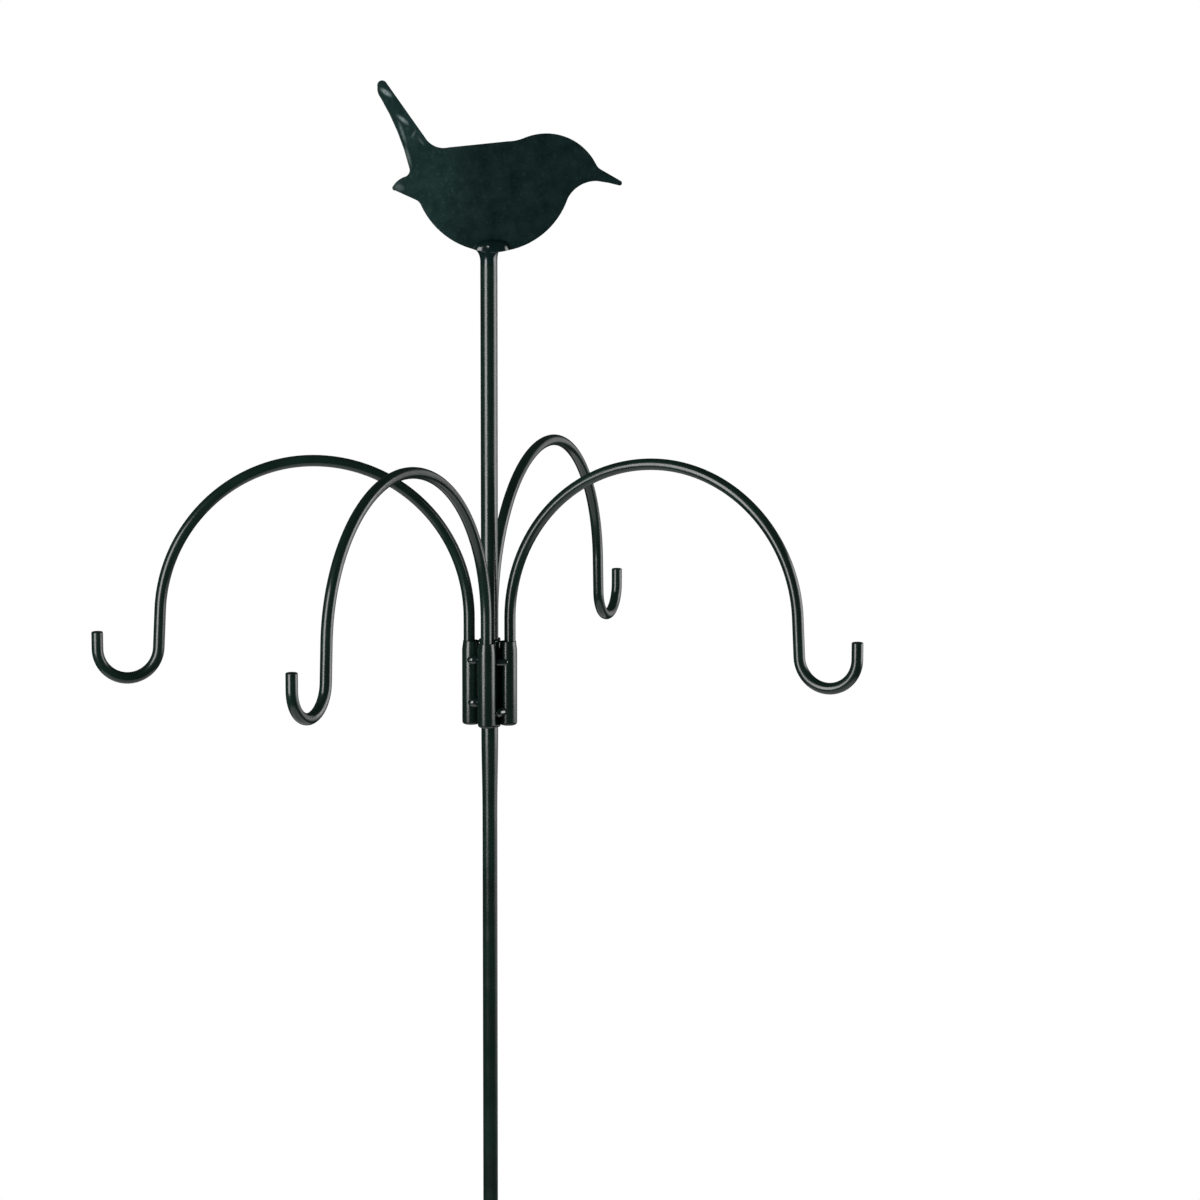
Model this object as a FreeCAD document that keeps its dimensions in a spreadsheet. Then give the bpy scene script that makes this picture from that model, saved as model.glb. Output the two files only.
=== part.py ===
import FreeCAD, Part
import Sketcher
import math
import os

# Bird feeder pole: a steel bird plate on a pole in three sections, with four hook arms that swivel in sleeves.
# Z is up, X runs along the bird towards its beak, and the origin is on the pole axis at ground level.

doc = FreeCAD.newDocument("BirdFeederPole")

# Driving dimensions in millimetres and degrees
dimensions = [
    ("pole_diameter", 12.0),
    ("shaft_diameter", 10.6),
    ("pole_wall", 1.0),
    ("draw_drop", 4.0),
    ("draw_length", 60.0),
    ("top_length", 720.0),
    ("middle_length", 600.0),
    ("lower_length", 420.0),
    ("neck_length", 40.0),
    ("neck_taper", 3.0),
    ("neck_clearance", 0.08),
    ("spike_diameter", 10.0),
    ("spike_length", 220.0),
    ("spike_insert", 60.0),
    ("spike_point", 32.0),
    ("spike_tip_diameter", 2.0),
    ("spike_clearance", 0.04),
    ("foot_diameter", 8.0),
    ("foot_height", 16.0),
    ("foot_reach", 78.0),
    ("foot_bend", 18.0),
    ("foot_depth", 130.0),
    ("foot_point", 14.0),
    ("foot_tip_diameter", 3.0),
    ("foot_weld_radius", 6.6),
    ("hub_drop", 280.0),
    ("hub_turn", -9.0),
    ("collar_diameter", 13.8),
    ("collar_clearance", 0.05),
    ("collar_weld_leg", 0.85),
    ("collar_weld_toe", 2.4),
    ("sleeve_diameter", 12.7),
    ("sleeve_length", 60.0),
    ("sleeve_wall", 1.0),
    ("sleeve_lip", 1.4),
    ("sleeve_drain", 4.0),
    ("sleeve_bottom_round", 2.2),
    ("sleeve_mouth_taper", 7.0),
    ("sleeve_mouth_wall", 0.3),
    ("sleeve_gap", 0.05),
    ("sleeve_bead_radius", 2.1),
    ("sleeve_bead_rise", 0.8),
    ("sleeve_bead_length", 7.0),
    ("sleeve_bead_inset", 15.0),
    ("arm_diameter", 8.0),
    ("arm_clearance", 0.08),
    ("arm_seat_gap", 0.2),
    ("arm_rise", 16.0),
    ("arch_inner_radius", 114.8),
    ("arch_outer_radius", 105.5),
    ("leg_lean", 3.0),
    ("leg_length", 26.5),
    ("hook_radius", 21.2),
    ("tip_length", 12.0),
    ("tip_round", 1.0),
    ("arm_right_turn", -18.9),
    ("arm_back_turn", -12.6),
    ("arm_left_turn", 24.6),
    ("arm_front_turn", -18.9),
    ("wren_length", 170.0),
    ("wren_perch", 77.0),
    ("wren_thickness", 3.0),
    ("slot_depth", 6.0),
    ("slot_clearance", 0.05),
    ("wren_weld_width", 25.0),
    ("wren_weld_height", 9.0),
    ("wren_weld_depth", 14.0),
    ("wren_weld_toe", 12.0),
]
sheet = doc.addObject("Spreadsheet::Sheet", "Sizes")
for row, (alias, value) in enumerate(dimensions, start=1):
    sheet.set(f"A{row}", alias)
    sheet.set(f"B{row}", str(value))
    sheet.setAlias(f"B{row}", alias)
doc.recompute()

# Formulas shared by pieces that fit together
pole_radius = "Sizes.pole_diameter / 2"
pole_bore = "(Sizes.pole_diameter / 2 - Sizes.pole_wall)"
shaft_radius = "Sizes.shaft_diameter / 2"
shaft_bore = "(Sizes.shaft_diameter / 2 - Sizes.pole_wall)"
neck_radius = f"({shaft_bore} - Sizes.neck_clearance)"
neck_bore = f"({neck_radius} - Sizes.pole_wall)"
tang_radius = f"({shaft_bore} - Sizes.spike_clearance)"
middle_base = "Sizes.lower_length"
top_base = "(Sizes.lower_length + Sizes.middle_length)"
pole_top = f"({top_base} + Sizes.top_length)"
hub_top = f"({pole_top} - Sizes.hub_drop)"
hub_base = f"({hub_top} - Sizes.sleeve_length)"
collar_radius = "Sizes.collar_diameter / 2"
sleeve_radius = "Sizes.sleeve_diameter / 2"
sleeve_bore = f"({sleeve_radius} - Sizes.sleeve_wall)"
sleeve_circle = f"({collar_radius} + Sizes.sleeve_gap + {sleeve_radius})"
arm_circle = f"({sleeve_circle} + {sleeve_bore} - Sizes.arm_diameter / 2 - Sizes.arm_clearance)"
arm_seat = "(Sizes.sleeve_lip + Sizes.arm_seat_gap)"
arm_tail = f"(Sizes.sleeve_length - {arm_seat})"
wren_base = f"({pole_top} - Sizes.slot_depth)"

# Sleeve and arm sides, with each sleeve's direction before the hub is turned
sides = [("right", 0.0), ("back", 90.0), ("left", 180.0), ("front", 270.0)]

parts = []
match_tolerance = 1e-4


def size(formula):
    """Value of a formula over the sheet's cells."""
    return float(sheet.evalExpression(formula))


def keep(piece, label):
    """Registers a finished sub-part under the name of its file."""
    piece.Label = label
    parts.append(piece)
    return piece


def place(piece, x="0", y="0", z="0", turn="0"):
    """Binds a sub-part's position, and its turn about the vertical, to the sheet."""
    piece.Placement.Rotation = FreeCAD.Rotation(FreeCAD.Vector(0, 0, 1), size(turn))
    bindings = {"Base.x": x, "Base.y": y, "Base.z": z, "Rotation.Angle": turn}
    for item, formula in bindings.items():
        if formula != "0":
            piece.setExpression(f"Placement.{item}", formula)


def primitive(kind, name, **formulas):
    """A Part primitive whose dimensions are bound to the sheet."""
    solid = doc.addObject(f"Part::{kind}", name)
    for item, formula in formulas.items():
        solid.setExpression(item, formula)
    return solid


def boolean(kind, name, base, tool):
    """A cut, fuse or common of two solids."""
    result = doc.addObject(f"Part::{kind}", name)
    result.Base = base
    result.Tool = tool
    return result


def new_sketch(body, name, plane):
    """A sketch on one of the body's own origin planes."""
    sketch = body.newObject("Sketcher::SketchObject", name)
    support = [item for item in body.Origin.OriginFeatures if item.Role == plane][0]
    sketch.AttachmentSupport = [(support, "")]
    sketch.MapMode = "FlatFace"
    return sketch


def bind(sketch, kind, *arguments):
    """Adds a dimension to a sketch; its last argument is the formula it follows."""
    formula = arguments[-1]
    index = sketch.addConstraint(Sketcher.Constraint(kind, *arguments[:-1], size(formula)))
    sketch.setExpression(f"Constraints[{index}]", formula)


def bind_angle(sketch, geometry, formula):
    """Sets the slope of a line to a formula in degrees."""
    slope = math.radians(size(formula))
    index = sketch.addConstraint(Sketcher.Constraint("Angle", geometry, slope))
    sketch.setExpression(f"Constraints[{index}]", f"({formula}) * 1deg")


def pin_point(sketch, geometry, end, x, y):
    """Ties one end point of an edge to the position given by two formulas."""
    for kind, axis, formula in (("DistanceX", -2, x), ("DistanceY", -1, y)):
        if formula == "0":
            sketch.addConstraint(Sketcher.Constraint("PointOnObject", geometry, end, axis))
        else:
            bind(sketch, kind, -1, 1, geometry, end, formula)


def draw_polygon(sketch, corners):
    """A closed polygon whose corners are pairs of formulas."""
    points = [FreeCAD.Vector(size(x), size(y), 0) for x, y in corners]
    for index, point in enumerate(points):
        sketch.addGeometry(Part.LineSegment(point, points[(index + 1) % len(points)]))
    for index, (x, y) in enumerate(corners):
        before = (index - 1) % len(corners)
        sketch.addConstraint(Sketcher.Constraint("Coincident", before, 2, index, 1))
        pin_point(sketch, index, 1, x, y)


def draw_circle(sketch, radius, height="0"):
    """A circle centred on the sketch's upright axis."""
    centre = FreeCAD.Vector(0, size(height), 0)
    index = sketch.addGeometry(Part.Circle(centre, FreeCAD.Vector(0, 0, 1), size(radius)))
    pin_point(sketch, index, 3, "0", height)
    bind(sketch, "Radius", index, radius)


def revolved_body(name, corners):
    """A body turned about the vertical axis from a profile of radius and height formulas."""
    body = doc.addObject("PartDesign::Body", name)
    sketch = new_sketch(body, f"{name}_profile", "XZ_Plane")
    draw_polygon(sketch, corners)
    turned = body.newObject("PartDesign::Revolution", f"{name}_turned")
    turned.Profile = sketch
    turned.ReferenceAxis = (sketch, ["V_Axis"])
    turned.Angle = 360
    doc.recompute()
    return body


def circle_edges(shape, height, radius):
    """Names of the circular edges of one radius at one height."""
    names = []
    for index, edge in enumerate(shape.Edges, start=1):
        if not isinstance(edge.Curve, Part.Circle):
            continue
        off_height = max(abs(edge.BoundBox.ZMin - height), abs(edge.BoundBox.ZMax - height))
        if off_height < match_tolerance and abs(edge.Curve.Radius - radius) < match_tolerance:
            names.append(f"Edge{index}")
    return names


# Pole tubes
def make_tube_with_neck(name, length, base):
    """A pole tube with a drawn-in neck on top that plugs into the next tube."""
    taper_start = f"({length} - Sizes.neck_taper)"
    neck_end = f"({length} + Sizes.neck_length)"
    corners = [
        (shaft_bore, "0"),
        (shaft_radius, "0"),
        (shaft_radius, taper_start),
        (neck_radius, length),
        (neck_radius, neck_end),
        (neck_bore, neck_end),
        (neck_bore, length),
        (shaft_bore, taper_start),
    ]
    body = revolved_body(name, corners)
    place(body, z=base)
    return keep(body, name)


def make_top_pole():
    """The upper tube, drawn down below the hub and slotted at its end for the bird plate."""
    draw_top = "(Sizes.top_length - Sizes.hub_drop - Sizes.sleeve_length - Sizes.draw_drop)"
    draw_base = f"({draw_top} - Sizes.draw_length)"
    body = revolved_body("top_pole", [
        (shaft_bore, "0"),
        (shaft_radius, "0"),
        (shaft_radius, draw_base),
        (pole_radius, draw_top),
        (pole_radius, "Sizes.top_length"),
        (pole_bore, "Sizes.top_length"),
        (pole_bore, draw_top),
        (shaft_bore, draw_base),
    ])
    tube = body.Tip
    slot = new_sketch(body, "top_pole_slot", "YZ_Plane")
    half_slot = "(Sizes.wren_thickness / 2 + Sizes.slot_clearance)"
    slot_floor = "(Sizes.top_length - Sizes.slot_depth)"
    draw_polygon(slot, [
        (f"-{half_slot}", slot_floor),
        (half_slot, slot_floor),
        (half_slot, "Sizes.top_length"),
        (f"-{half_slot}", "Sizes.top_length"),
    ])
    cut = body.newObject("PartDesign::Pocket", "top_pole_slot_cut")
    cut.Profile = slot
    cut.Type = "ThroughAll"
    cut.Midplane = True
    doc.recompute()
    if cut.Shape.Volume >= tube.Shape.Volume:
        raise RuntimeError("the slot cuts nothing from the top pole")
    place(body, z=top_base)
    return keep(body, "top_pole")


# Ground spike and foot rod
def make_ground_spike():
    """A solid pointed bar, shouldered against the lower tube, with a tang held in the tube's bore."""
    tip_radius = "Sizes.spike_tip_diameter / 2"
    spike_radius = "Sizes.spike_diameter / 2"
    tang_end = "(Sizes.spike_length + Sizes.spike_insert)"
    spike = revolved_body("ground_spike", [
        ("0", "0"),
        (tip_radius, "0"),
        (spike_radius, "Sizes.spike_point"),
        (spike_radius, "Sizes.spike_length"),
        (tang_radius, "Sizes.spike_length"),
        (tang_radius, tang_end),
        ("0", tang_end),
    ])
    place(spike, z="-Sizes.spike_length")
    return keep(spike, "ground_spike")


def make_foot_rod():
    """A rod that runs out from the pole to be trodden on and bends down into the ground."""
    body = doc.addObject("PartDesign::Body", "foot_bar")
    path = new_sketch(body, "foot_path", "XZ_Plane")
    reach, bend, depth = size("Sizes.foot_reach"), size("Sizes.foot_bend"), size("Sizes.foot_depth")
    height = size("Sizes.foot_height")
    shank_end = size("Sizes.foot_point") - depth
    path.addGeometry(Part.LineSegment(FreeCAD.Vector(0, height), FreeCAD.Vector(reach - bend, height)))
    centre = FreeCAD.Vector(reach - bend, height - bend)
    path.addGeometry(Part.ArcOfCircle(Part.Circle(centre, FreeCAD.Vector(0, 0, 1), bend), 0, math.pi / 2))
    path.addGeometry(Part.LineSegment(FreeCAD.Vector(reach, height - bend), FreeCAD.Vector(reach, shank_end)))
    path.addConstraint(Sketcher.Constraint("Horizontal", 0))
    path.addConstraint(Sketcher.Constraint("Tangent", 0, 2, 1, 2))
    path.addConstraint(Sketcher.Constraint("Tangent", 1, 1, 2, 1))
    pin_point(path, 0, 1, "0", "Sizes.foot_height")
    bind(path, "Radius", 1, "Sizes.foot_bend")
    pin_point(path, 2, 2, "Sizes.foot_reach", "Sizes.foot_point - Sizes.foot_depth")
    section = new_sketch(body, "foot_section", "YZ_Plane")
    draw_circle(section, "Sizes.foot_diameter / 2", "Sizes.foot_height")
    bar = body.newObject("PartDesign::AdditivePipe", "foot_sweep")
    bar.Profile = section
    bar.Spine = path
    doc.recompute()
    point = primitive(
        "Cone", "foot_point_cone",
        Radius1="Sizes.foot_tip_diameter / 2",
        Radius2="Sizes.foot_diameter / 2",
        Height="Sizes.foot_point",
    )
    place(point, x="Sizes.foot_reach", z="-Sizes.foot_depth")
    whole = boolean("Fuse", "foot_whole", body, point)
    saddle = primitive("Cylinder", "foot_saddle", Radius=shaft_radius, Height="2 * Sizes.foot_height")
    rod = boolean("Cut", "foot_rod", whole, saddle)
    return keep(rod, "foot_rod")


def make_foot_weld():
    """A bead round the coped end of the foot rod, against the pole."""
    bead = primitive("Sphere", "foot_bead", Radius="Sizes.foot_weld_radius")
    place(bead, x=shaft_radius, z="Sizes.foot_height")
    pole = primitive("Cylinder", "foot_weld_pole", Radius=shaft_radius, Height="2 * Sizes.foot_height")
    off_pole = boolean("Cut", "foot_bead_off_pole", bead, pole)
    rod = primitive("Cylinder", "foot_weld_rod", Radius="Sizes.foot_diameter / 2", Height="Sizes.foot_reach")
    rod.Placement.Rotation = FreeCAD.Rotation(FreeCAD.Vector(0, 1, 0), 90)
    rod.setExpression("Placement.Base.z", "Sizes.foot_height")
    return keep(boolean("Cut", "foot_weld", off_pole, rod), "foot_weld")


# Hub
def make_hub_collar():
    """The collar tube round the pole."""
    inner = f"({pole_radius} + Sizes.collar_clearance)"
    collar = revolved_body("hub_collar", [
        (inner, "0"),
        (collar_radius, "0"),
        (collar_radius, "Sizes.sleeve_length"),
        (inner, "Sizes.sleeve_length"),
    ])
    place(collar, z=hub_base)
    return keep(collar, "hub_collar")


def make_collar_weld(name, foot, toe):
    """A ring weld on the pole, from its foot on the collar's end face to its toe on the pole."""
    ring = revolved_body(name, [
        (pole_radius, foot),
        (f"{pole_radius} + Sizes.collar_weld_leg", foot),
        (pole_radius, toe),
    ])
    return keep(ring, name)


def make_sleeve(side, direction):
    """A sleeve with a tapered mouth, its lower end rolled in to a lip that carries the arm."""
    name = f"sleeve_{side}"
    drain = "Sizes.sleeve_drain / 2"
    body = revolved_body(name, [
        (drain, "0"),
        (sleeve_radius, "0"),
        (sleeve_radius, "Sizes.sleeve_length - Sizes.sleeve_mouth_taper"),
        (f"{sleeve_bore} + Sizes.sleeve_mouth_wall", "Sizes.sleeve_length"),
        (sleeve_bore, "Sizes.sleeve_length"),
        (sleeve_bore, "Sizes.sleeve_lip"),
        (drain, "Sizes.sleeve_lip"),
    ])
    turned = body.Tip
    bottom = body.newObject("PartDesign::Fillet", f"{name}_bottom_round")
    bottom.Base = (turned, circle_edges(turned.Shape, 0, size(sleeve_radius)))
    bottom.setExpression("Radius", "Sizes.sleeve_bottom_round")
    doc.recompute()
    angle = f"({direction} + Sizes.hub_turn)"
    place(body, f"{sleeve_circle} * cos({angle})", f"{sleeve_circle} * sin({angle})", hub_base)
    return keep(body, name)


def make_sleeve_welds():
    """Two pairs of weld beads on each sleeve, in the valleys where it meets the collar."""
    to_collar = f"({collar_radius} + Sizes.sleeve_bead_rise)"
    to_sleeve = f"({sleeve_radius} + Sizes.sleeve_bead_rise)"
    cosine = f"({to_collar}^2 + {sleeve_circle}^2 - {to_sleeve}^2) / (2 * {to_collar} * {sleeve_circle})"
    levels = ["Sizes.sleeve_bead_inset", "(Sizes.sleeve_length - Sizes.sleeve_bead_inset)"]
    beads = []
    hub = [primitive("Cylinder", "weld_collar", Radius=collar_radius, Height="Sizes.sleeve_length")]
    place(hub[0], z=hub_base)
    for side, direction in sides:
        angle = f"({direction} + Sizes.hub_turn)"
        name = f"weld_sleeve_{side}"
        tube = primitive("Cylinder", name, Radius=sleeve_radius, Height="Sizes.sleeve_length")
        place(tube, f"{sleeve_circle} * cos({angle})", f"{sleeve_circle} * sin({angle})", hub_base)
        hub.append(tube)
        for flank in ("+", "-"):
            bearing = f"({angle} {flank} acos({cosine}) / 1deg)"
            x = f"{to_collar} * cos({bearing})"
            y = f"{to_collar} * sin({bearing})"
            for level in levels:
                bead = primitive(
                    "Cylinder", f"bead_{len(beads)}",
                    Radius="Sizes.sleeve_bead_radius",
                    Height="Sizes.sleeve_bead_length",
                )
                place(bead, x, y, f"{hub_base} + {level} - Sizes.sleeve_bead_length / 2")
                beads.append(bead)
    all_beads = doc.addObject("Part::Compound", "all_beads")
    all_beads.Links = beads
    metal = doc.addObject("Part::MultiFuse", "weld_metal")
    metal.Shapes = hub
    return keep(boolean("Cut", "sleeve_welds", all_beads, metal), "sleeve_welds")


# Arms
def draw_arm_path(sketch):
    """Upright tail, arch in two arcs that meet at the crown, leg, hook and upright tip."""
    tail, rise = size(arm_tail), size("Sizes.arm_rise")
    inner, outer = size("Sizes.arch_inner_radius"), size("Sizes.arch_outer_radius")
    hook, lean = size("Sizes.hook_radius"), math.radians(size("Sizes.leg_lean"))
    leg, tip = size("Sizes.leg_length"), size("Sizes.tip_length")
    up = FreeCAD.Vector(0, 0, 1)
    spring = FreeCAD.Vector(0, tail + rise)
    inner_centre = spring + FreeCAD.Vector(inner, 0)
    outer_centre = inner_centre + FreeCAD.Vector(0, inner - outer)
    outward = FreeCAD.Vector(math.cos(lean), math.sin(lean))
    down = FreeCAD.Vector(math.sin(lean), -math.cos(lean))
    leg_start = outer_centre + outward * outer
    leg_end = leg_start + down * leg
    hook_centre = leg_end + outward * hook
    tip_start = hook_centre + FreeCAD.Vector(hook, 0)
    sketch.addGeometry(Part.LineSegment(FreeCAD.Vector(), spring))
    sketch.addGeometry(Part.ArcOfCircle(Part.Circle(inner_centre, up, inner), math.pi / 2, math.pi))
    sketch.addGeometry(Part.ArcOfCircle(Part.Circle(outer_centre, up, outer), lean, math.pi / 2))
    sketch.addGeometry(Part.LineSegment(leg_end, leg_start))
    sketch.addGeometry(Part.ArcOfCircle(Part.Circle(hook_centre, up, hook), math.pi + lean, 2 * math.pi))
    sketch.addGeometry(Part.LineSegment(tip_start, tip_start + FreeCAD.Vector(0, tip)))
    sketch.addConstraint(Sketcher.Constraint("Coincident", 0, 1, -1, 1))
    sketch.addConstraint(Sketcher.Constraint("Vertical", 0))
    sketch.addConstraint(Sketcher.Constraint("Tangent", 0, 2, 1, 2))
    sketch.addConstraint(Sketcher.Constraint("Tangent", 1, 1, 2, 2))
    sketch.addConstraint(Sketcher.Constraint("Vertical", 1, 3, 2, 3))
    sketch.addConstraint(Sketcher.Constraint("Tangent", 2, 1, 3, 2))
    sketch.addConstraint(Sketcher.Constraint("Tangent", 3, 1, 4, 1))
    sketch.addConstraint(Sketcher.Constraint("Tangent", 4, 2, 5, 1))
    sketch.addConstraint(Sketcher.Constraint("Vertical", 5))
    bind(sketch, "Distance", 0, f"{arm_tail} + Sizes.arm_rise")
    bind(sketch, "Radius", 1, "Sizes.arch_inner_radius")
    bind(sketch, "Radius", 2, "Sizes.arch_outer_radius")
    bind_angle(sketch, 3, "90 + Sizes.leg_lean")
    bind(sketch, "Distance", 3, "Sizes.leg_length")
    bind(sketch, "Radius", 4, "Sizes.hook_radius")
    bind(sketch, "Distance", 5, "Sizes.tip_length")


def make_arm(side, direction):
    """One bent wire arm, loose in its sleeve, against the outer wall, and turned by its own angle."""
    name = f"arm_{side}"
    body = doc.addObject("PartDesign::Body", name)
    path = new_sketch(body, f"{name}_path", "XZ_Plane")
    draw_arm_path(path)
    section = new_sketch(body, f"{name}_section", "XY_Plane")
    draw_circle(section, "Sizes.arm_diameter / 2")
    wire = body.newObject("PartDesign::AdditivePipe", f"{name}_wire")
    wire.Profile = section
    wire.Spine = path
    doc.recompute()
    tip_height = path.Geometry[5].EndPoint.y
    tip_edges = circle_edges(wire.Shape, tip_height, size("Sizes.arm_diameter") / 2)
    rounded = body.newObject("PartDesign::Fillet", f"{name}_tip_round")
    rounded.Base = (wire, tip_edges)
    rounded.setExpression("Radius", "Sizes.tip_round")
    doc.recompute()
    angle = f"({direction} + Sizes.hub_turn)"
    place(
        body,
        f"{arm_circle} * cos({angle})",
        f"{arm_circle} * sin({angle})",
        f"{hub_base} + {arm_seat}",
        f"{angle} + Sizes.{name}_turn",
    )
    return keep(body, name)


# Bird plate: corners from the tail tip's side and the belly's lowest point, for a bird 170 mm long.
# The third number is the bulge of the edge to the next corner: rise over half chord, hollow if negative.
drawn_length = 170.0
wren_outline = [
    (29.8, 32.4, 0.68),
    (132.0, 37.1, -0.285),
    (152.3, 49.0, -0.04),
    (168.0, 45.9, 0.7),
    (168.9, 49.1, 0.0),
    (154.5, 57.3, -0.12),
    (151.7, 60.4, 0.29),
    (116.5, 81.8, 0.10),
    (101.0, 78.4, -0.09),
    (90.3, 76.3, 0.0),
    (49.0, 72.0, -0.29),
    (34.1, 77.2, 0.0),
    (6.6, 116.0, 0.9),
    (0.2, 113.5, 0.2),
    (2.3, 106.0, -0.075),
    (22.0, 57.5, -0.35),
    (19.5, 52.0, 0.18),
    (10.1, 44.6, 0.6),
    (11.2, 42.6, 0.0),
    (26.1, 35.9, -0.2),
]


def bulged_edge(start, end, bulge):
    """The circle of an edge with a bulge: its centre and radius."""
    half = (end - start) * 0.5
    outward = FreeCAD.Vector(half.y, -half.x, 0)
    centre = start + half - outward * ((1 - bulge ** 2) / (2 * bulge))
    return centre, half.Length * (1 + bulge ** 2) / (2 * abs(bulge))


def draw_wren_outline(sketch):
    """The bird's silhouette, its corners and radii following the bird's length."""
    scale = size("Sizes.wren_length") / drawn_length
    up = FreeCAD.Vector(0, 0, 1)
    points = [FreeCAD.Vector(x * scale, z * scale) for x, z, bulge in wren_outline]
    starts, ends = [], []
    for index, (x, z, bulge) in enumerate(wren_outline):
        start, end = points[index], points[(index + 1) % len(points)]
        if not bulge:
            sketch.addGeometry(Part.LineSegment(start, end))
        else:
            centre, radius = bulged_edge(start, end, bulge)
            first, last = (start, end) if bulge > 0 else (end, start)
            angles = [math.atan2(p.y - centre.y, p.x - centre.x) for p in (first, last)]
            sketch.addGeometry(Part.ArcOfCircle(Part.Circle(centre, up, radius), *angles))
        starts.append(2 if bulge < 0 else 1)
        ends.append(1 if bulge < 0 else 2)
    for index, (x, z, bulge) in enumerate(wren_outline):
        before = index - 1 if index else len(wren_outline) - 1
        sketch.addConstraint(Sketcher.Constraint("Coincident", before, ends[before], index, starts[index]))
        pin_point(
            sketch, index, starts[index],
            f"Sizes.wren_length * {x / drawn_length}",
            f"Sizes.wren_length * {z / drawn_length}",
        )
        if bulge:
            radius = bulged_edge(points[index], points[(index + 1) % len(points)], bulge)[1]
            bind(sketch, "Radius", index, f"Sizes.wren_length * {radius / scale / drawn_length}")


def make_wren_plate():
    """The flat bird, cut from plate and standing in the pole's slot."""
    body = doc.addObject("PartDesign::Body", "wren_plate")
    outline = new_sketch(body, "wren_outline", "XZ_Plane")
    draw_wren_outline(outline)
    plate = body.newObject("PartDesign::Pad", "wren_cut_plate")
    plate.Profile = outline
    plate.Midplane = True
    plate.setExpression("Length", "Sizes.wren_thickness")
    doc.recompute()
    place(body, x="-Sizes.wren_perch", z=wren_base)
    return keep(body, "wren_plate")


def make_wren_weld(plate):
    """The weld on both faces of the plate, domed over the pole's end and run out down the pole."""
    start, end = (FreeCAD.Vector(x, z) for x, z, bulge in wren_outline[:2])
    centre, radius = bulged_edge(start, end, wren_outline[0][2])
    scale = f"Sizes.wren_length / {drawn_length}"
    dome = primitive(
        "Ellipsoid", "weld_dome",
        Radius1="Sizes.wren_weld_height",
        Radius2="Sizes.wren_weld_width / 2",
        Radius3="Sizes.wren_weld_depth / 2",
    )
    place(dome, z=wren_base)
    belly = primitive("Cylinder", "weld_belly", Radius=f"{radius} * {scale}", Height="Sizes.wren_weld_depth")
    belly.Placement.Rotation = FreeCAD.Rotation(FreeCAD.Vector(1, 0, 0), 90)
    belly.setExpression("Placement.Base.x", f"{centre.x} * {scale} - Sizes.wren_perch")
    belly.setExpression("Placement.Base.y", "Sizes.wren_weld_depth / 2")
    belly.setExpression("Placement.Base.z", f"{wren_base} + {centre.y} * {scale}")
    toe = primitive(
        "Cone", "weld_toe",
        Radius1=pole_radius,
        Radius2="Sizes.wren_weld_depth / 2",
        Height="Sizes.wren_weld_toe",
    )
    place(toe, z=f"{wren_base} - Sizes.wren_weld_toe")
    pole_end = "Sizes.wren_weld_toe + Sizes.slot_depth"
    pole = primitive("Cylinder", "weld_pole", Radius=pole_radius, Height=pole_end)
    place(pole, z=f"{wren_base} - Sizes.wren_weld_toe")
    on_plate = boolean("Common", "weld_on_plate", dome, belly)
    metal = boolean("Fuse", "weld_lump", on_plate, toe)
    off_plate = boolean("Cut", "weld_off_plate", metal, plate)
    return keep(boolean("Cut", "wren_weld", off_plate, pole), "wren_weld")


make_ground_spike()
make_foot_rod()
make_foot_weld()
make_tube_with_neck("lower_pole", "Sizes.lower_length", "0")
make_tube_with_neck("middle_pole", "Sizes.middle_length", middle_base)
make_top_pole()
make_hub_collar()
make_collar_weld("collar_weld_top", hub_top, f"({hub_top} + Sizes.collar_weld_toe)")
make_collar_weld("collar_weld_bottom", hub_base, f"({hub_base} - Sizes.collar_weld_toe)")
for side, direction in sides:
    make_sleeve(side, direction)
make_sleeve_welds()
for side, direction in sides:
    make_arm(side, direction)
make_wren_weld(make_wren_plate())
doc.recompute()

# Every object must be sound before anything is written
for item in doc.Objects:
    if "Invalid" in item.State or "Error" in item.State:
        raise RuntimeError(f"{item.Name} failed: {item.State}")
for piece in parts:
    if piece.Shape.isNull() or not piece.Shape.isValid():
        raise RuntimeError(f"{piece.Label} has no valid shape")

os.makedirs("parts", exist_ok=True)
for piece in parts:
    piece.Shape.exportStep(f"parts/{piece.Label}.step")
    print(f"{piece.Label}: {len(piece.Shape.Solids)} solid(s), {piece.Shape.Volume:.1f} mm3")
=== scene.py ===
import math
import bmesh
import bpy
from mathutils import Euler, Matrix, Vector, noise


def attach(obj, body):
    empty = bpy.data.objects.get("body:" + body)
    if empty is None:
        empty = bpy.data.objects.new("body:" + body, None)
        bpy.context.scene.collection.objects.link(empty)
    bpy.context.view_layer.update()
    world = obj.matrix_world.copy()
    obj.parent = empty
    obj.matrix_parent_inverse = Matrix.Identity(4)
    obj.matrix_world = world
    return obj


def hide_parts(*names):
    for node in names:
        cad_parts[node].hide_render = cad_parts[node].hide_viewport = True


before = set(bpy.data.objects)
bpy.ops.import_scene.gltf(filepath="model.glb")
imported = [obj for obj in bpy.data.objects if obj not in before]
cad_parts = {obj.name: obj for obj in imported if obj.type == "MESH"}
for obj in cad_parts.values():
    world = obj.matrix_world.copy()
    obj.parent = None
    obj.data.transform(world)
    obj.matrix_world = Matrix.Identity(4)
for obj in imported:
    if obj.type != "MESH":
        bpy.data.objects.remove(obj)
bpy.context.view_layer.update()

mm = 0.001
scene = bpy.context.scene
scene.view_settings.view_transform = "Standard"


# Camera at the photo's angle
viewpoint = {
    "place": (0.0, -2.4488, 1.8325),
    "yaw": -1.826,      # degrees, towards the beak
    "pitch": -7.983,
    "roll": 0.145,
    "lens": 105.0,
    "sensor": 36.0,
    "clip": (0.05, 60.0),
}


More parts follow.
